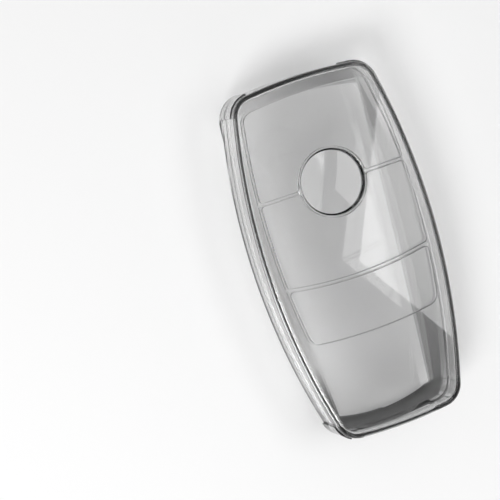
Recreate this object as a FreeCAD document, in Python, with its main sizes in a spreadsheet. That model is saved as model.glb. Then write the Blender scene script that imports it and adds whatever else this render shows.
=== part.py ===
import FreeCAD, Part
import math
import os
import re

import Sketcher

# Clear key fob cover: two moulded half shells, three button pads and a round window.
# It lies on its flat back. X runs across, +Y towards the tip end and +Z out of the front face.

# Driving sizes in millimetres
SIZES = {
    # Plan of the whole case: two long side arcs and two end arcs with rounded corners
    "cover_length": 87.0,
    "cover_half_width": 22.1,
    "widest_y": 3.8,
    "side_radius": 160.0,
    "end_radius": 112.0,
    "tip_corner_radius": 5.6,
    "loop_corner_radius": 5.8,
    # Heights above the flat back
    "cover_height": 17.0,
    "split_height": 9.0,
    "rim_height": 5.2,
    # Walls
    "side_wall": 1.2,
    "front_wall": 1.2,
    "back_wall": 1.2,
    "front_edge_radius": 1.4,
    "inner_edge_radius": 0.4,
    # Back: a flat plate that widens towards the tip, a shallow bevel and steeper flanks round it.
    # The widest point of its side arcs lies past the tip end
    "back_side_inset": 2.9,
    "back_widest_y": 154.4,
    "back_side_radius": 2500.0,
    "back_tip_inset": 8.0,
    "back_loop_inset": 2.2,
    "back_loop_radius": 42.0,
    "bevel_run": 2.0,
    "bevel_rise": 0.8,
    # The plate bends up at the tip end
    "ramp_run": 15.2,
    "ramp_angle": 12.0,
    # Tongue on the back shell that nests inside the front shell
    "tongue_wall": 0.5,
    "tongue_height": 1.6,
    "tongue_gap": 0.1,
    "tongue_end_gap": 0.3,
    # Thickened corners
    "bump_proud": 0.4,
    "bump_run": 5.0,
    "tip_bump_inset": 8.8,
    "loop_bump_inset": 8.6,
    "bump_below_front": 2.6,
    # Slot in the loop end wall, half in each shell
    "slot_width": 20.0,
    "slot_height": 5.2,
    # Button panel on the front face
    "panel_side_margin": 3.4,
    "panel_widest_y": 9.7,
    "panel_side_radius": 175.0,
    "panel_tip_margin": 3.9,
    "panel_loop_y": 19.2,
    "panel_loop_radius": 113.0,
    "panel_corner_radius": 3.0,
    # Bars between the pads: a straight one at the ring and a bowed one below it
    "upper_bar": 0.7,
    "lower_bar": 0.8,
    "lower_bar_y": 5.55,
    "lower_bar_radius": 95.0,
    # Pads
    "pad_gap": 0.1,
    "pad_corner_radius": 0.9,
    "flange_width": 0.4,
    "flange_height": 0.4,
    "flange_gap": 0.6,
    "seat_gap": 0.03,
    "pad_edge_radius": 0.12,
    "frame_edge_radius": 0.1,
    # Ring and round window
    "disc_y": 17.2,
    "ring_outer_radius": 8.4,
    "ring_wall": 0.4,
    "ring_height": 2.0,
    "ledge_width": 0.5,
    "ledge_height": 0.6,
    "disc_gap": 0.06,
    "disc_edge_height": 0.7,
    "disc_crown_height": 1.3,
    # Length by which cutting tools run past what they cut
    "overrun": 2.0,
}
TOLERANCE = 1e-4
# Faces that meet at less than this angle, in degrees, count as one smooth face
CREASE_ANGLE = 5.0
FULL_TURN = 360.0

doc = FreeCAD.newDocument("key_fob_cover")
sheet = doc.addObject("Spreadsheet::Sheet", "Sizes")
for row, (alias, size) in enumerate(SIZES.items(), start=1):
    sheet.set(f"A{row}", alias)
    sheet.set(f"B{row}", str(size))
    sheet.setAlias(f"B{row}", alias)
doc.recompute()


def cell(text):
    """An expression with the sheet's name before each size."""
    return re.sub("[a-z_]+", lambda word: f"Sizes.{word[0]}" if word[0] in SIZES else word[0], text)


def number(text):
    """The present value of an expression."""
    return float(sheet.evalExpression(cell(text)))


def bind(thing, **expressions):
    """Binds properties to expressions. Two underscores in a name stand for a dot."""
    for name, text in expressions.items():
        thing.setExpression(name.replace("__", "."), cell(text))


# Plans: greatest half width and where it lies, side radius, how far each end reaches, and corners
COVER = {
    "half": "cover_half_width",
    "widest": "widest_y",
    "side": "side_radius",
    "tip": "cover_length / 2",
    "tip_radius": "end_radius",
    "tip_corner": "tip_corner_radius",
    "loop": "cover_length / 2",
    "loop_radius": "end_radius",
    "loop_corner": "loop_corner_radius",
}
BACK = {
    "half": "(cover_half_width - back_side_inset)",
    "widest": "back_widest_y",
    "side": "back_side_radius",
    "tip": "cover_length / 2 - back_tip_inset",
    "tip_radius": "end_radius",
    "loop": "cover_length / 2 - back_loop_inset",
    "loop_radius": "back_loop_radius",
}
PANEL = {
    "half": "(cover_half_width - panel_side_margin)",
    "widest": "panel_widest_y",
    "side": "panel_side_radius",
    "tip": "cover_length / 2 - panel_tip_margin",
    "tip_radius": "end_radius",
    "tip_corner": "panel_corner_radius",
    "loop": "panel_loop_y",
    "loop_radius": "panel_loop_radius",
    "loop_corner": "panel_corner_radius",
}
FRONT = "cover_height"
UNDER_FRONT = "(cover_height - front_wall)"
FLANGE_FOOT = "(cover_height - front_wall - seat_gap - flange_height)"
PAD_HEIGHT = "(front_wall + seat_gap + flange_height)"


def crossing(side, end, way):
    """Where the right-hand side arc meets an end arc, each given as centre x, centre y and radius.

    way is 1 for the tip end and -1 for the loop end.
    """
    dx = end[0] - side[0]
    dy = end[1] - side[1]
    apart = math.hypot(dx, dy)
    along = (apart**2 + side[2] ** 2 - end[2] ** 2) / (2 * apart)
    off = math.sqrt(side[2] ** 2 - along**2)
    meets = []
    for turn in (1, -1):
        x = side[0] + (along * dx + turn * off * dy) / apart
        y = side[1] + (along * dy - turn * off * dx) / apart
        meets.append((x, y))
    return max(meets, key=lambda point: way * point[1])


def outline(body, name, plan, height, inset):
    """A closed sketch of two side arcs and two end arcs, set in from a plan."""
    sketch = body.newObject("Sketcher::SketchObject", name)
    plane = next(f for f in body.Origin.OriginFeatures if f.Role == "XY_Plane")
    sketch.AttachmentSupport = [(plane, "")]
    sketch.MapMode = "FlatFace"
    bind(sketch, AttachmentOffset__Base__z=height)

    side_centre = f"{plan['side']} - {plan['half']}"
    tip_centre = f"{plan['tip_radius']} - ({plan['tip']})"
    loop_centre = f"{plan['loop_radius']} - ({plan['loop']})"
    radii = {
        "tip_arc": f"{plan['tip_radius']} - ({inset})",
        "left_arc": f"{plan['side']} - ({inset})",
        "loop_arc": f"{plan['loop_radius']} - ({inset})",
        "right_arc": f"{plan['side']} - ({inset})",
    }
    tip = (0.0, -number(tip_centre), number(radii["tip_arc"]))
    loop = (0.0, number(loop_centre), number(radii["loop_arc"]))
    right = (-number(side_centre), number(plan["widest"]), number(radii["right_arc"]))
    left = (-right[0], right[1], right[2])
    x_tip, y_tip = crossing(right, tip, 1)
    x_loop, y_loop = crossing(right, loop, -1)
    corners = [(x_tip, y_tip), (-x_tip, y_tip), (-x_loop, y_loop), (x_loop, y_loop)]
    for index, (x, y, radius) in enumerate((tip, left, loop, right)):
        start = corners[index]
        end = corners[(index + 1) % len(corners)]
        circle = Part.Circle(FreeCAD.Vector(x, y, 0), FreeCAD.Vector(0, 0, 1), radius)
        first = math.atan2(start[1] - y, start[0] - x)
        last = math.atan2(end[1] - y, end[0] - x)
        if last < first:
            last += 2 * math.pi
        sketch.addGeometry(Part.ArcOfCircle(circle, first, last))
    for index in range(len(corners)):
        after = (index + 1) % len(corners)
        sketch.addConstraint(Sketcher.Constraint("Coincident", index, 2, after, 1))

    def hold(constraint, label, text):
        sketch.renameConstraint(sketch.addConstraint(constraint), label)
        sketch.setExpression(f"Constraints.{label}", cell(text))

    for index, (label, text) in enumerate(radii.items()):
        hold(Sketcher.Constraint("Radius", index, number(text)), label, text)
    for index in (0, 2):
        sketch.addConstraint(Sketcher.Constraint("PointOnObject", index, 3, -2))
    hold(Sketcher.Constraint("DistanceY", 0, 3, -1, 1, -tip[1]), "tip_centre", tip_centre)
    hold(Sketcher.Constraint("DistanceY", -1, 1, 2, 3, loop[1]), "loop_centre", loop_centre)
    hold(Sketcher.Constraint("DistanceX", -1, 1, 1, 3, left[0]), "left_centre", side_centre)
    hold(Sketcher.Constraint("DistanceX", 3, 3, -1, 1, left[0]), "right_centre", side_centre)
    hold(Sketcher.Constraint("DistanceY", -1, 1, 1, 3, left[1]), "left_widest", plan["widest"])
    hold(Sketcher.Constraint("DistanceY", -1, 1, 3, 3, right[1]), "right_widest", plan["widest"])
    doc.recompute()
    return sketch


def upright(shape, edge):
    """True for a straight edge along Z between two faces that meet at an angle."""
    across = max(edge.BoundBox.XLength, edge.BoundBox.YLength)
    return across < TOLERANCE and creased(shape, edge)


def creased(shape, edge):
    """True if the two faces at an edge don't run smoothly into each other."""
    point = edge.valueAt((edge.FirstParameter + edge.LastParameter) / 2)
    normals = []
    for face in shape.ancestorsOfType(edge, Part.Face):
        u, v = face.Surface.parameter(point)
        normals.append(face.normalAt(u, v))
    smooth = math.cos(math.radians(CREASE_ANGLE))
    return len(normals) == 2 and abs(normals[0].dot(normals[1])) < smooth


def level(height):
    """A test for creased edges that lie wholly at a height."""

    def test(shape, edge):
        ends = (edge.BoundBox.ZMin, edge.BoundBox.ZMax)
        return max(abs(z - number(height)) for z in ends) < TOLERANCE and creased(shape, edge)

    return test


def picked(shape, test):
    """Numbers of a shape's edges that a test picks."""
    return [i for i, edge in enumerate(shape.Edges, start=1) if test(shape, edge)]


def rounded(body, name, test, radius):
    """Rounds the edges of a body that a test picks."""
    base = body.Tip
    fillet = body.newObject("PartDesign::Fillet", name)
    fillet.Base = (base, [f"Edge{i}" for i in picked(base.Shape, test)])
    bind(fillet, Radius=radius)
    doc.recompute()


def prism(name, plan, inset, bottom, height):
    """An upright prism on a plan set in by a distance, with its corners rounded."""
    body = doc.addObject("PartDesign::Body", name)
    sketch = outline(body, f"{name}_plan", plan, bottom, inset)
    pad = body.newObject("PartDesign::Pad", f"{name}_pad")
    pad.Profile = sketch
    bind(pad, Length=height)
    doc.recompute()
    middle = number(f"({plan['tip']} - ({plan['loop']})) / 2")

    def at_tip(shape, edge):
        return upright(shape, edge) and edge.CenterOfMass.y > middle

    def at_loop(shape, edge):
        return upright(shape, edge) and edge.CenterOfMass.y < middle

    rounded(body, f"{name}_tip_corners", at_tip, f"{plan['tip_corner']} - ({inset})")
    rounded(body, f"{name}_loop_corners", at_loop, f"{plan['loop_corner']} - ({inset})")
    return body


def hull(name, sections, top):
    """A form with sharp corners: sections joined by straight flanks, then upright walls to a height.

    Each section is a plan, a height and an inset.
    """
    body = doc.addObject("PartDesign::Body", name)
    sketches = []
    for index, (plan, height, inset) in enumerate(sections):
        sketches.append(outline(body, f"{name}_section_{index}", plan, height, inset))
    loft = body.newObject("PartDesign::AdditiveLoft", f"{name}_flanks")
    loft.Profile = sketches[0]
    loft.Sections = sketches[1:]
    loft.Ruled = True
    doc.recompute()
    pad = body.newObject("PartDesign::Pad", f"{name}_walls")
    pad.Profile = sketches[-1]
    bind(pad, Length=f"{top} - ({sections[-1][1]})")
    doc.recompute()
    return body


def box(name, x, y, z, length, width, height):
    """A box from its low corner and its sizes."""
    solid = doc.addObject("Part::Box", name)
    bind(solid, Length=length, Width=width, Height=height)
    bind(solid, Placement__Base__x=x, Placement__Base__y=y, Placement__Base__z=z)
    return solid


def cylinder(name, radius, y, z, height):
    """An upright cylinder on the middle plane."""
    solid = doc.addObject("Part::Cylinder", name)
    bind(solid, Radius=radius, Height=height, Placement__Base__y=y, Placement__Base__z=z)
    return solid


def fuse(name, *solids):
    """The union of solids."""
    union = doc.addObject("Part::MultiFuse", name)
    union.Shapes = list(solids)
    return union


def common(name, *solids):
    """The space that solids share."""
    shared = doc.addObject("Part::MultiCommon", name)
    shared.Shapes = list(solids)
    return shared


def cut(name, base, *tools):
    """A solid less some tools."""
    less = doc.addObject("Part::Cut", name)
    less.Base = base
    less.Tool = tools[0] if len(tools) == 1 else fuse(f"{name}_tools", *tools)
    return less


def soften(name, base, test, radius):
    """A solid with the edges that a test picks rounded."""
    doc.recompute()
    fillet = doc.addObject("Part::Fillet", name)
    fillet.Base = base
    size = number(radius)
    fillet.Edges = [(edge, size, size) for edge in picked(base.Shape, test)]
    doc.recompute()
    return fillet


# Half shells


def corner_bumps(name, bottom, height):
    """The thickened bands round the four corners."""
    band = prism(f"{name}_band", COVER, "-bump_proud", bottom, height)
    reach = "(bump_run + overrun)"
    ends = {
        "tip": ("tip_bump_inset", "cover_length / 2 - bump_run"),
        "loop": ("loop_bump_inset", "-cover_length / 2 - overrun"),
    }
    zones = []
    for end, (inset, low_y) in ends.items():
        span = f"({inset} + overrun)"
        sides = {"right": f"cover_half_width - {inset}", "left": "-cover_half_width - overrun"}
        for side, low_x in sides.items():
            zones.append(box(f"{name}_{end}_{side}", low_x, low_y, bottom, span, reach, height))
    return common(name, band, fuse(f"{name}_zones", *zones))


def loop_slot(name):
    """The slot through the loop end wall, which both shells share."""
    return box(
        name,
        "-slot_width / 2",
        "-cover_length / 2 - overrun",
        "split_height - slot_height / 2",
        "slot_width",
        "back_loop_inset + 2 * overrun",
        "slot_height",
    )


def tip_ramp(name, lift):
    """The space under the bent part of the plate, raised by a wall's thickness."""
    depth = "cover_height"
    space = doc.addObject("Part::Box", name)
    space.Placement.Rotation = FreeCAD.Rotation(FreeCAD.Vector(1, 0, 0), number("ramp_angle"))
    bend_y = f"cover_length / 2 - ramp_run - {lift} * tan(ramp_angle / 2)"
    bind(space, Length="2 * cover_half_width + 2 * overrun", Width="2 * ramp_run", Height=depth)
    bind(space, Placement__Rotation__Angle="ramp_angle")
    bind(space, Placement__Base__x="-cover_half_width - overrun")
    bind(space, Placement__Base__y=f"{bend_y} + {depth} * sin(ramp_angle)")
    bind(space, Placement__Base__z=f"{lift} - {depth} * cos(ramp_angle)")
    return space


def make_back_shell():
    """The tray: bent back plate, bevel, flanks, low side walls and the tongue."""
    flanks = [
        (BACK, "0", "0"),
        (BACK, "bevel_rise", "-bevel_run"),
        (COVER, "rim_height", "0"),
    ]
    half_wall = "back_wall / 2"
    hollow_flanks = [
        (BACK, "back_wall", half_wall),
        (BACK, "bevel_rise + back_wall", f"{half_wall} - bevel_run"),
        (COVER, f"rim_height + {half_wall}", "side_wall"),
    ]
    tongue_top = "split_height + tongue_height"
    past_top = f"{tongue_top} + overrun"
    outside = common(
        "back_outside",
        hull("back_form", flanks, "split_height"),
        prism("back_walls", COVER, "0", "0", "split_height"),
    )
    tongue = prism(
        "tongue", COVER, "side_wall - tongue_wall", "rim_height", f"{tongue_top} - rim_height"
    )
    inside = common(
        "back_inside",
        hull("back_hollow", hollow_flanks, past_top),
        prism("back_room", COVER, "side_wall", "0", past_top),
    )
    bumps = corner_bumps("back_bumps", "rim_height", "split_height - rim_height")
    solid = fuse("back_solid", cut("back_bent", outside, tip_ramp("ramp", "0")), tongue, bumps)
    hollow = cut("back_bent_inside", inside, tip_ramp("inner_ramp", "back_wall"))
    return cut("back_tray", solid, hollow, loop_slot("back_slot"))


def pad_zone(name, pad, solid, bottom, height, upper, lower, ring):
    """The part of a solid that belongs to one pad.

    upper and lower are the distances to keep from the middle of the two bars, and ring the radius
    to keep from the middle of the ring.
    """
    wide = "2 * cover_half_width"
    bowed_y = "lower_bar_radius - lower_bar_y"
    if pad == "trunk":
        above = cylinder(f"{name}_above", f"lower_bar_radius + {lower}", bowed_y, bottom, height)
        return cut(name, solid, above)
    ring_space = cylinder(f"{name}_ring", ring, "disc_y", bottom, height)
    if pad == "unlock":
        low_y = f"disc_y + {upper}"
        side = box(f"{name}_side", "-cover_half_width", low_y, bottom, wide, "cover_length", height)
        return cut(name, common(f"{name}_whole", solid, side), ring_space)
    low_y = f"disc_y - ({upper}) - cover_length"
    side = box(f"{name}_side", "-cover_half_width", low_y, bottom, wide, "cover_length", height)
    above = cylinder(f"{name}_above", f"lower_bar_radius - ({lower})", bowed_y, bottom, height)
    return cut(name, common(f"{name}_whole", solid, side, above), ring_space)


def pad_prism(name, pad, inset, bottom, height):
    """The upright form of a pad's window, set in by a distance."""
    solid = prism(f"{name}_panel", PANEL, inset, bottom, height)
    zone = pad_zone(
        f"{name}_zone",
        pad,
        solid,
        bottom,
        height,
        f"upper_bar / 2 + {inset}",
        f"lower_bar / 2 + {inset}",
        f"ring_outer_radius + {inset}",
    )
    return soften(name, zone, upright, f"pad_corner_radius - {inset}")


PADS = ("unlock", "lock", "trunk")


def make_front_shell():
    """The lid: side walls, front face with the pad windows, bars and ring."""
    walls = prism("front_walls", COVER, "0", "split_height", "cover_height - split_height")
    rounded(walls, "front_edge", level(FRONT), "front_edge_radius")
    bump_height = "cover_height - bump_below_front - split_height"
    bumps = corner_bumps("front_bumps", "split_height", bump_height)
    room = prism(
        "front_room",
        COVER,
        "side_wall",
        "split_height - overrun",
        f"{UNDER_FRONT} - split_height + overrun",
    )
    rounded(room, "front_room_edge", level(UNDER_FRONT), "inner_edge_radius")
    rebate = prism(
        "tongue_room",
        COVER,
        "side_wall - tongue_wall - tongue_gap",
        "split_height - overrun",
        "tongue_height + tongue_end_gap + overrun",
    )
    shell = cut(
        "front_lid", fuse("front_solid", walls, bumps), room, rebate, loop_slot("front_slot")
    )
    windows = []
    for pad in PADS:
        windows.append(
            pad_prism(f"{pad}_window", pad, "0", FLANGE_FOOT, f"{PAD_HEIGHT} + overrun")
        )
    ring = cylinder(
        "ring", "ring_outer_radius", "disc_y", "cover_height - ring_height", "ring_height"
    )
    bore = cylinder(
        "ring_bore",
        "ring_outer_radius - ring_wall",
        "disc_y",
        "cover_height - ring_height + ledge_height",
        "ring_height",
    )
    ledge_bore = cylinder(
        "ledge_bore",
        "ring_outer_radius - ring_wall - ledge_width",
        "disc_y",
        "cover_height - ring_height - overrun",
        "ring_height + overrun",
    )
    framed = cut("front_frame", fuse("front_ringed", shell, ring), *windows, bore, ledge_bore)
    return soften("front_softened", framed, level(FRONT), "frame_edge_radius")


def make_pad(pad):
    """A button pad: it fills its window and has a flange under the frame."""
    core = pad_prism(f"{pad}_core", pad, "pad_gap", FLANGE_FOOT, PAD_HEIGHT)
    wide = prism(f"{pad}_flange_panel", PANEL, "-flange_width", FLANGE_FOOT, "flange_height")
    flange = pad_zone(
        f"{pad}_flange",
        pad,
        wide,
        FLANGE_FOOT,
        "flange_height",
        "flange_gap / 2",
        "flange_gap / 2",
        "ring_outer_radius + pad_gap",
    )
    return soften(f"{pad}_button", fuse(f"{pad}_solid", core, flange), level(FRONT), "pad_edge_radius")


def make_centre_disc():
    """The round window: a flat underside on the ring's ledge and a shallow dome on top."""
    body = doc.addObject("PartDesign::Body", "disc_body")
    sketch = body.newObject("Sketcher::SketchObject", "disc_profile")
    plane = next(f for f in body.Origin.OriginFeatures if f.Role == "XZ_Plane")
    sketch.AttachmentSupport = [(plane, "")]
    sketch.MapMode = "FlatFace"
    radius = number("ring_outer_radius - ring_wall - disc_gap")
    edge = number("disc_edge_height")
    crown = number("disc_crown_height")
    dome = (radius**2 + (crown - edge) ** 2) / (2 * (crown - edge))
    points = [FreeCAD.Vector(x, y, 0) for x, y in ((0, 0), (radius, 0), (radius, edge), (0, crown))]
    for start, end in ((0, 1), (1, 2), (3, 0)):
        sketch.addGeometry(Part.LineSegment(points[start], points[end]))
    circle = Part.Circle(FreeCAD.Vector(0, crown - dome, 0), FreeCAD.Vector(0, 0, 1), dome)
    first = math.atan2(edge - crown + dome, radius)
    sketch.addGeometry(Part.ArcOfCircle(circle, first, math.pi / 2))
    foot, rim, middle, arc = range(4)
    for pair in ((foot, 2, rim, 1), (rim, 2, arc, 1), (arc, 2, middle, 1), (middle, 2, foot, 1)):
        sketch.addConstraint(Sketcher.Constraint("Coincident", *pair))
    sketch.addConstraint(Sketcher.Constraint("Coincident", foot, 1, -1, 1))
    sketch.addConstraint(Sketcher.Constraint("Horizontal", foot))
    sketch.addConstraint(Sketcher.Constraint("Vertical", rim))
    sketch.addConstraint(Sketcher.Constraint("Vertical", middle))
    sketch.addConstraint(Sketcher.Constraint("PointOnObject", arc, 3, -2))
    sizes = {
        "disc_radius": (foot, 1, foot, 2, radius, "ring_outer_radius - ring_wall - disc_gap"),
        "edge_height": (rim, 1, rim, 2, edge, "disc_edge_height"),
        "crown_height": (middle, 2, middle, 1, crown, "disc_crown_height"),
    }
    for label, (first_line, first_end, last_line, last_end, size, text) in sizes.items():
        kind = "DistanceX" if label == "disc_radius" else "DistanceY"
        constraint = Sketcher.Constraint(kind, first_line, first_end, last_line, last_end, size)
        sketch.renameConstraint(sketch.addConstraint(constraint), label)
        sketch.setExpression(f"Constraints.{label}", cell(text))
    doc.recompute()
    turn = body.newObject("PartDesign::Revolution", "disc_turn")
    turn.Profile = sketch
    turn.ReferenceAxis = (sketch, ["V_Axis"])
    turn.Angle = FULL_TURN
    bind(body, Placement__Base__y="disc_y")
    bind(body, Placement__Base__z="cover_height - ring_height + ledge_height")
    return body


NODES = {"back_shell": make_back_shell(), "front_shell": make_front_shell()}
for pad in PADS:
    NODES[f"{pad}_pad"] = make_pad(pad)
NODES["centre_disc"] = make_centre_disc()
for node, part in NODES.items():
    part.Label = node
doc.recompute()

failed = [o.Label for o in doc.Objects if "Invalid" in o.State or "Error" in o.State]
if failed:
    raise RuntimeError(f"these objects failed: {failed}")
for node, part in NODES.items():
    if part.Shape.isNull() or not part.Shape.isValid() or len(part.Shape.Solids) != 1:
        raise RuntimeError(f"{node} is not one valid solid")

os.makedirs("parts", exist_ok=True)
for node, part in NODES.items():
    part.Shape.exportStep(os.path.join("parts", f"{node}.step"))
    print(node, round(part.Shape.Volume, 1), part.Shape.BoundBox)
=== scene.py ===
import math

import bpy
from mathutils import Matrix, Vector


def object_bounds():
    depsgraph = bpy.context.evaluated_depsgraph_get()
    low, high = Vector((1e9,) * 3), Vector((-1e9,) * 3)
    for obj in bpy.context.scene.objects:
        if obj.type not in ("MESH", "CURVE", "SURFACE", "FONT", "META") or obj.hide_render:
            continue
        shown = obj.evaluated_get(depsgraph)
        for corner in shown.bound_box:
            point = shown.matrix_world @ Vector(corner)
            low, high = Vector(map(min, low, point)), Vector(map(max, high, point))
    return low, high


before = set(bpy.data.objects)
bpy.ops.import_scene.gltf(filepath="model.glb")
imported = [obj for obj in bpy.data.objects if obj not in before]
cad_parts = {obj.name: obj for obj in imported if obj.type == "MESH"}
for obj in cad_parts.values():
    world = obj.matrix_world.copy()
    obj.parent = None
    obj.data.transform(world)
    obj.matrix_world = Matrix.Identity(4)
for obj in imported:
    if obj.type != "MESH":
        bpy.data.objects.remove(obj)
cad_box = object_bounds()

# Clear key fob cover in metres, lying on its flat back: X across, +Y to the tip end, +Z up.

# Camera as in the photograph: the direction it looks from, its roll, and where the cover sits
IMAGE_SIZE = 500
TILT = math.radians(17.5)
PITCH = math.radians(7.0)
ROLL = math.radians(17.1)
COVER_MIDDLE = Vector((0.0, 0.0, 0.0085))
MIDDLE_PIXEL = (342.7, 250.4)
PIXELS_PER_METRE = 4160.0
CAMERA_DISTANCE = 0.45
SENSOR_WIDTH = 36.0
CLIP_START = 0.01

# Optical constants of the plastics, and how strongly the smoke tint fills each
CASE_IOR = 1.49
PAD_IOR = 1.5
SMOKE = (0.5, 0.5, 0.5, 1.0)
CASE_DENSITY = 140.0
PAD_DENSITY = 110.0
DISC_DENSITY = 120.0
# Cloudy tint: the scale and detail of its noise, and its darkest and palest tone
TINT_NOISE = (90.0, 3.0)
TINT_TONES = ((0.96, 0.96, 0.96, 1.0), (0.99, 0.99, 0.99, 1.0))
# Fine haze: the scale and detail of its noise, and its least and greatest roughness
HAZE_NOISE = (650.0, 5.0)
HAZE_ROUGHNESS = (0.0, 0.02)
# Flow waves of the mouldings: scale and depth by piece, and what all have in common
CASE_WAVES = (60.0, 0.000004)
PAD_WAVES = (80.0, 0.000002)
DISC_WAVES = (60.0, 0.000002)
WAVE_DETAIL = 1.5
WAVE_STRENGTH = 0.35
# Share of the light that upright and level surfaces of the cover let through to the floor
PASSED_LIGHT = (0.96, 0.65)

# Faces are told apart by how far up or down they look: 1 is level and 0 is upright
PLATE = 0.97
BEVEL = 0.92
FLANK = 0.8
WALL = 0.15
# Heights of the top of the flanks, the top of the end wall's shade, and the matt faces of the joint
FLANK_TOP = 0.006
WALL_TOP = 0.0155
JOINT = (0.0089, 0.011)
JOINT_ROUGHNESS = 0.25
# Ends of the cover, and the band across its middle where left passes into right
LOOP_END = cad_box[0][1]
TIP_END = cad_box[1][1]
MIDDLE_BAND = (-0.01, 0.01)

# Painted shade by place, as shares of the base colour taken away. Flanks: at the loop end and from the
# middle on, less on the left
FLANK_PAINTED_SHADE = (0.8, 0.5)
LEFT_SHARE = 0.35
# The strip of the flanks next to the bevel gets less painted shade, up to this height
STRIP_SHARE = 0.5
STRIP_TOP = (0.0024, 0.0026)
# Painted shade on the right wall: from the middle to the tip end
WALL_PAINTED_SHADE = (0.5, 0.15)
# Painted shade on the end wall at the loop: at its foot and its top, and where along the cover it
# fades out
END_PAINTED_SHADE = (0.8, 0.45)
END_FADE = (LOOP_END + 0.0025, LOOP_END + 0.006)
# Painted shade on the bent faces round the loop end of the plate, and where it fades out on the left
BENT_PAINTED_SHADE = 0.85
BENT_FADE = (LOOP_END + 0.0068, LOOP_END + 0.018)
# Painted shade on the plate: at its loop end, and where it fades out
PLATE_PAINTED_SHADE = 0.12
PLATE_FADE = (LOOP_END + 0.004, LOOP_END + 0.02)
# Twice the radius of a curved edge, and its depth from the loop end on the middle line.
# The wall's edge runs between its outer and its inner face
WALL_CURVE = 0.224
WALL_EDGE = 0.0006
PLATE_CURVE = 0.084
PLATE_EDGE = 0.0025

# Floor and studio light
WHITE = (1.0, 1.0, 1.0, 1.0)
FLOOR_TONE = (0.97, 0.97, 0.97, 1.0)
FLOOR_ROUGHNESS = 0.9
FLOOR_REACH = 4.0
# The floor lies a hair below the cover, so that the two faces don't share a plane
FLOOR_DROP = 0.0001
# The softbox whose edge is mirrored in the front face: one corner and the ways its edges run
SOFTBOX_CORNER = Vector((0.189, -0.083, 0.6))
SOFTBOX_SIDE = 0.35
SOFTBOX_EDGES = (Vector((0.42, 0.90, 0.0)) * SOFTBOX_SIDE, Vector((0.56, -0.83, 0.0)) * SOFTBOX_SIDE)
SOFTBOX_RADIANCE = 3.5
FILL_PLACE = Vector((-0.5, -0.25, 0.6))
FILL_SIDE = 0.3
FILL_POWER = 4.0
SKY_STRENGTH = 0.4


class Graph:
    """A material's or world's nodes, made and joined with little text."""

    def __init__(self, owner):
        owner.use_nodes = True
        self.tree = owner.node_tree
        self.tree.nodes.clear()

    def add(self, kind, settings=None, **inputs):
        """A node with its settings and inputs. An input is a value or another node's output."""
        node = self.tree.nodes.new(kind)
        for name, value in (settings or {}).items():
            setattr(node, name, value)
        for name, value in inputs.items():
            self.give(node.inputs[name.replace("_", " ")], value)
        return node

    def give(self, socket, value):
        """Sets an input to a value, or joins it to another node's output."""
        if isinstance(value, bpy.types.NodeSocket):
            self.tree.links.new(value, socket)
        else:
            socket.default_value = value

    def noise(self, place, scale, detail):
        """Soft cloudy values from 0 to 1."""
        return self.add("ShaderNodeTexNoise", Vector=place, Scale=scale, Detail=detail).outputs["Fac"]

    def spread(self, value, low, high, start=0.0, stop=1.0):
        """A value between start and stop mapped onto a range, held at its ends."""
        limits = {"From_Min": start, "From_Max": stop, "To_Min": low, "To_Max": high}
        return self.add("ShaderNodeMapRange", Value=value, **limits).outputs["Result"]

    def maths(self, operation, *values):
        """Arithmetic on one or two values."""
        node = self.add("ShaderNodeMath", {"operation": operation})
        for socket, value in zip(node.inputs, values):
            self.give(socket, value)
        return node.outputs["Value"]

    def times(self, first, *others):
        """The product of several values."""
        for value in others:
            first = self.maths("MULTIPLY", first, value)
        return first

    def greatest(self, first, *others):
        """The greatest of several values."""
        for value in others:
            first = self.maths("MAXIMUM", first, value)
        return first

    def over(self, value, limit):
        """1 where a value is over a limit, 0 elsewhere."""
        return self.maths("GREATER_THAN", value, limit)

    def under(self, value, limit):
        """1 where a value is under a limit, 0 elsewhere."""
        return self.maths("LESS_THAN", value, limit)

    def part_of(self, vector, axis):
        """One coordinate of a vector."""
        return self.add("ShaderNodeSeparateXYZ", Vector=vector).outputs[axis]


class Spot:
    """Where a point of the cover lies, and how level its face is."""

    def __init__(self, graph, place):
        normal = graph.add("ShaderNodeNewGeometry").outputs["True Normal"]
        self.levelness = graph.maths("ABSOLUTE", graph.part_of(normal, "Z"))
        self.across = graph.part_of(place, "X")
        self.along = graph.part_of(place, "Y")
        self.height = graph.part_of(place, "Z")
        self.low = graph.under(self.height, FLANK_TOP)


# Plastics


def loop_depth(graph, spot, curve):
    """Distance from the loop end, less the bow of a curve across the cover."""
    bow = graph.maths("DIVIDE", graph.times(spot.across, spot.across), curve)
    return graph.maths("SUBTRACT", graph.maths("SUBTRACT", spot.along, LOOP_END), bow)


def inside_end_wall(graph, spot):
    """0 on the outer face of the loop end wall, 1 on all that lies further in."""
    return graph.over(loop_depth(graph, spot, WALL_CURVE), WALL_EDGE)


def side_painted_shade(graph, spot):
    """Painted shade on the flanks and on the right wall, as a share of the base colour taken away."""
    flank = graph.times(
        spot.low,
        graph.over(spot.levelness, WALL),
        graph.spread(spot.levelness, 1.0, 0.0, FLANK, BEVEL),
        graph.spread(spot.height, STRIP_SHARE, 1.0, *STRIP_TOP),
        graph.spread(spot.along, *FLANK_PAINTED_SHADE, LOOP_END, 0.0),
        graph.spread(spot.across, LEFT_SHARE, 1.0, *MIDDLE_BAND),
    )
    wall = graph.times(
        graph.under(spot.levelness, WALL),
        inside_end_wall(graph, spot),
        graph.spread(spot.along, *WALL_PAINTED_SHADE, 0.0, TIP_END),
        graph.spread(spot.across, 0.0, 1.0, *MIDDLE_BAND),
    )
    return graph.greatest(flank, wall)


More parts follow.
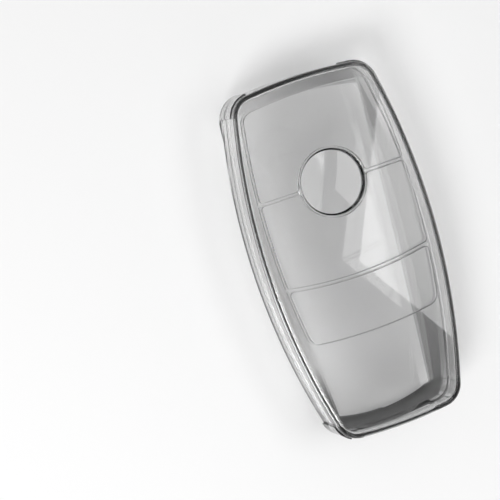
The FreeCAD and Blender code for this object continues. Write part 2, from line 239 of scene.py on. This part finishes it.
def loop_painted_shade(graph, spot):
    """Painted shade on the bent faces at the loop end and on the end wall above them."""
    past_plate = graph.under(loop_depth(graph, spot, PLATE_CURVE), PLATE_EDGE)
    left = graph.times(graph.under(spot.across, 0.0), graph.spread(spot.along, 1.0, 0.0, *BENT_FADE))
    bent = graph.times(
        spot.low,
        graph.under(spot.levelness, PLATE),
        graph.greatest(past_plate, left),
        BENT_PAINTED_SHADE,
    )
    wall = graph.times(
        graph.maths("SUBTRACT", graph.under(spot.height, WALL_TOP), spot.low),
        inside_end_wall(graph, spot),
        graph.spread(spot.height, *END_PAINTED_SHADE, FLANK_TOP, WALL_TOP),
        graph.spread(spot.along, 1.0, 0.0, *END_FADE),
    )
    return graph.greatest(bent, wall)


def plate_painted_shade(graph, spot):
    """Painted shade on the plate near its loop end."""
    level = graph.over(spot.levelness, PLATE)
    return graph.times(spot.low, level, graph.spread(spot.along, PLATE_PAINTED_SHADE, 0.0, *PLATE_FADE))


def kept_under_painted_shade(graph, spot):
    """Share of the base colour kept under the painted shade."""
    painted_shades = [painted_mark(graph, spot) for painted_mark in (side_painted_shade, loop_painted_shade, plate_painted_shade)]
    return graph.maths("SUBTRACT", 1.0, graph.greatest(*painted_shades))


def joint_face(graph, spot):
    """1 on the level faces where the two shells meet, 0 elsewhere."""
    bottom, top = JOINT
    level = graph.over(spot.levelness, PLATE)
    return graph.times(graph.over(spot.height, bottom), graph.under(spot.height, top), level)


def clear_plastic(name, ior, density, waves):
    """Clear moulded plastic with a smoke tint darkened by painted shade by place, faint flow waves and
    a fine haze.
    """
    material = bpy.data.materials.new(name)
    graph = Graph(material)
    place = graph.add("ShaderNodeTexCoord").outputs["Object"]
    spot = Spot(graph, place)
    tint = graph.add("ShaderNodeValToRGB", Fac=graph.noise(place, *TINT_NOISE))
    for stop, tone in zip(tint.color_ramp.elements, TINT_TONES):
        stop.color = tone
    # The painted shade darkens the cloudy tint by place
    tint_under_painted_shade = graph.add("ShaderNodeVectorMath", {"operation": "SCALE"}, Scale=kept_under_painted_shade(graph, spot))
    graph.give(tint_under_painted_shade.inputs[0], tint.outputs["Color"])
    fine_haze = graph.spread(graph.noise(place, *HAZE_NOISE), *HAZE_ROUGHNESS)
    joint_haze = graph.times(joint_face(graph, spot), JOINT_ROUGHNESS)
    wave_scale, wave_depth = waves
    wave = graph.noise(place, wave_scale, WAVE_DETAIL)
    bump = graph.add("ShaderNodeBump", Strength=WAVE_STRENGTH, Distance=wave_depth, Height=wave)
    plastic = graph.add(
        "ShaderNodeBsdfPrincipled",
        IOR=ior,
        Transmission_Weight=1.0,
        Base_Color=tint_under_painted_shade.outputs["Vector"],
        Roughness=graph.greatest(fine_haze, joint_haze),
        Normal=bump.outputs["Normal"],
    )
    # Light passes through to the floor, so the cover casts a pale shadow
    passed = graph.spread(spot.levelness, *PASSED_LIGHT, WALL, FLANK)
    passing = graph.add("ShaderNodeBsdfTransparent", Color=passed)
    path = graph.add("ShaderNodeLightPath")
    mixed = graph.add("ShaderNodeMixShader", Fac=path.outputs["Is Shadow Ray"])
    graph.give(mixed.inputs[1], plastic.outputs["BSDF"])
    graph.give(mixed.inputs[2], passing.outputs["BSDF"])
    smoke = graph.add("ShaderNodeVolumeAbsorption", Color=SMOKE, Density=density)
    surface = mixed.outputs["Shader"]
    graph.add("ShaderNodeOutputMaterial", Surface=surface, Volume=smoke.outputs["Volume"])
    return material


def dress(node, material):
    """Gives a CAD node a material."""
    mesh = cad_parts[node].data
    mesh.materials.clear()
    mesh.materials.append(material)


case_plastic = clear_plastic("case_plastic", CASE_IOR, CASE_DENSITY, CASE_WAVES)
pad_plastic = clear_plastic("pad_plastic", PAD_IOR, PAD_DENSITY, PAD_WAVES)
disc_plastic = clear_plastic("disc_plastic", CASE_IOR, DISC_DENSITY, DISC_WAVES)
for shell in ("back_shell", "front_shell"):
    dress(shell, case_plastic)
for pad in ("unlock_pad", "lock_pad", "trunk_pad"):
    dress(pad, pad_plastic)
dress("centre_disc", disc_plastic)

# Studio


def flat_panel(name, corners, material):
    """A flat four-cornered panel."""
    mesh = bpy.data.meshes.new(name)
    mesh.from_pydata(corners, [], [tuple(range(len(corners)))])
    mesh.materials.append(material)
    panel = bpy.data.objects.new(name, mesh)
    bpy.context.scene.collection.objects.link(panel)
    return panel


def floor_paper():
    """Pale matt paper."""
    material = bpy.data.materials.new("floor_paper")
    graph = Graph(material)
    paper = graph.add("ShaderNodeBsdfPrincipled", Roughness=FLOOR_ROUGHNESS, Base_Color=FLOOR_TONE)
    graph.add("ShaderNodeOutputMaterial", Surface=paper.outputs["BSDF"])
    return material


def glowing(name, radiance):
    """The front of a softbox."""
    material = bpy.data.materials.new(name)
    graph = Graph(material)
    light = graph.add("ShaderNodeEmission", Strength=radiance)
    graph.add("ShaderNodeOutputMaterial", Surface=light.outputs["Emission"])
    return material


def soft_light(name, place, aim, side, power):
    """A square soft lamp that points at a place."""
    lamp = bpy.data.lights.new(name, "AREA")
    lamp.shape = "RECTANGLE"
    lamp.size = side
    lamp.size_y = side
    lamp.energy = power
    holder = bpy.data.objects.new(name, lamp)
    holder.location = place
    holder.rotation_mode = "QUATERNION"
    holder.rotation_quaternion = (aim - place).to_track_quat("-Z", "Y")
    bpy.context.scene.collection.objects.link(holder)


def light_sky(strength):
    """Even white light from all round."""
    world = bpy.data.worlds.new("studio")
    bpy.context.scene.world = world
    graph = Graph(world)
    glow = graph.add("ShaderNodeBackground", Strength=strength, Color=WHITE)
    graph.add("ShaderNodeOutputWorld", Surface=glow.outputs["Background"])


flat_panel(
    "floor",
    [(x * FLOOR_REACH, y * FLOOR_REACH, -FLOOR_DROP) for x, y in ((-1, -1), (1, -1), (1, 1), (-1, 1))],
    floor_paper(),
)
softbox = flat_panel(
    "softbox",
    [
        SOFTBOX_CORNER,
        SOFTBOX_CORNER + SOFTBOX_EDGES[0],
        SOFTBOX_CORNER + SOFTBOX_EDGES[0] + SOFTBOX_EDGES[1],
        SOFTBOX_CORNER + SOFTBOX_EDGES[1],
    ],
    glowing("softbox_front", SOFTBOX_RADIANCE),
)
softbox.visible_camera = False
soft_light("fill_light", FILL_PLACE, Vector((0.0, 0.0, 0.0)), FILL_SIDE, FILL_POWER)
light_sky(SKY_STRENGTH)

# Camera


def place_camera():
    """Puts the camera where the photograph was taken from."""
    back = Vector(
        (-math.sin(TILT) * math.cos(PITCH), math.sin(PITCH), math.cos(TILT) * math.cos(PITCH))
    )
    level = Vector((math.cos(TILT), 0.0, math.sin(TILT)))
    upward = back.cross(level)
    right = math.cos(ROLL) * level - math.sin(ROLL) * upward
    up = math.sin(ROLL) * level + math.cos(ROLL) * upward
    facing = Matrix((right, up, back)).transposed()
    # The lens is turned so that the cover's middle falls on its pixel
    focal_pixels = PIXELS_PER_METRE * CAMERA_DISTANCE
    across = (MIDDLE_PIXEL[0] - IMAGE_SIZE / 2) / focal_pixels
    down = (MIDDLE_PIXEL[1] - IMAGE_SIZE / 2) / focal_pixels
    seen = Vector((across, -down, -1.0)).normalized()
    turn = seen.rotation_difference(Vector((0.0, 0.0, -1.0))).to_matrix()
    lens = bpy.data.cameras.new("camera")
    lens.sensor_width = SENSOR_WIDTH
    lens.lens = focal_pixels * SENSOR_WIDTH / IMAGE_SIZE
    lens.clip_start = CLIP_START
    camera = bpy.data.objects.new("camera", lens)
    camera.matrix_world = Matrix.Translation(COVER_MIDDLE + back * CAMERA_DISTANCE) @ (
        facing @ turn
    ).to_4x4()
    bpy.context.scene.collection.objects.link(camera)
    bpy.context.scene.camera = camera


place_camera()
bpy.context.scene.view_settings.view_transform = "Standard"
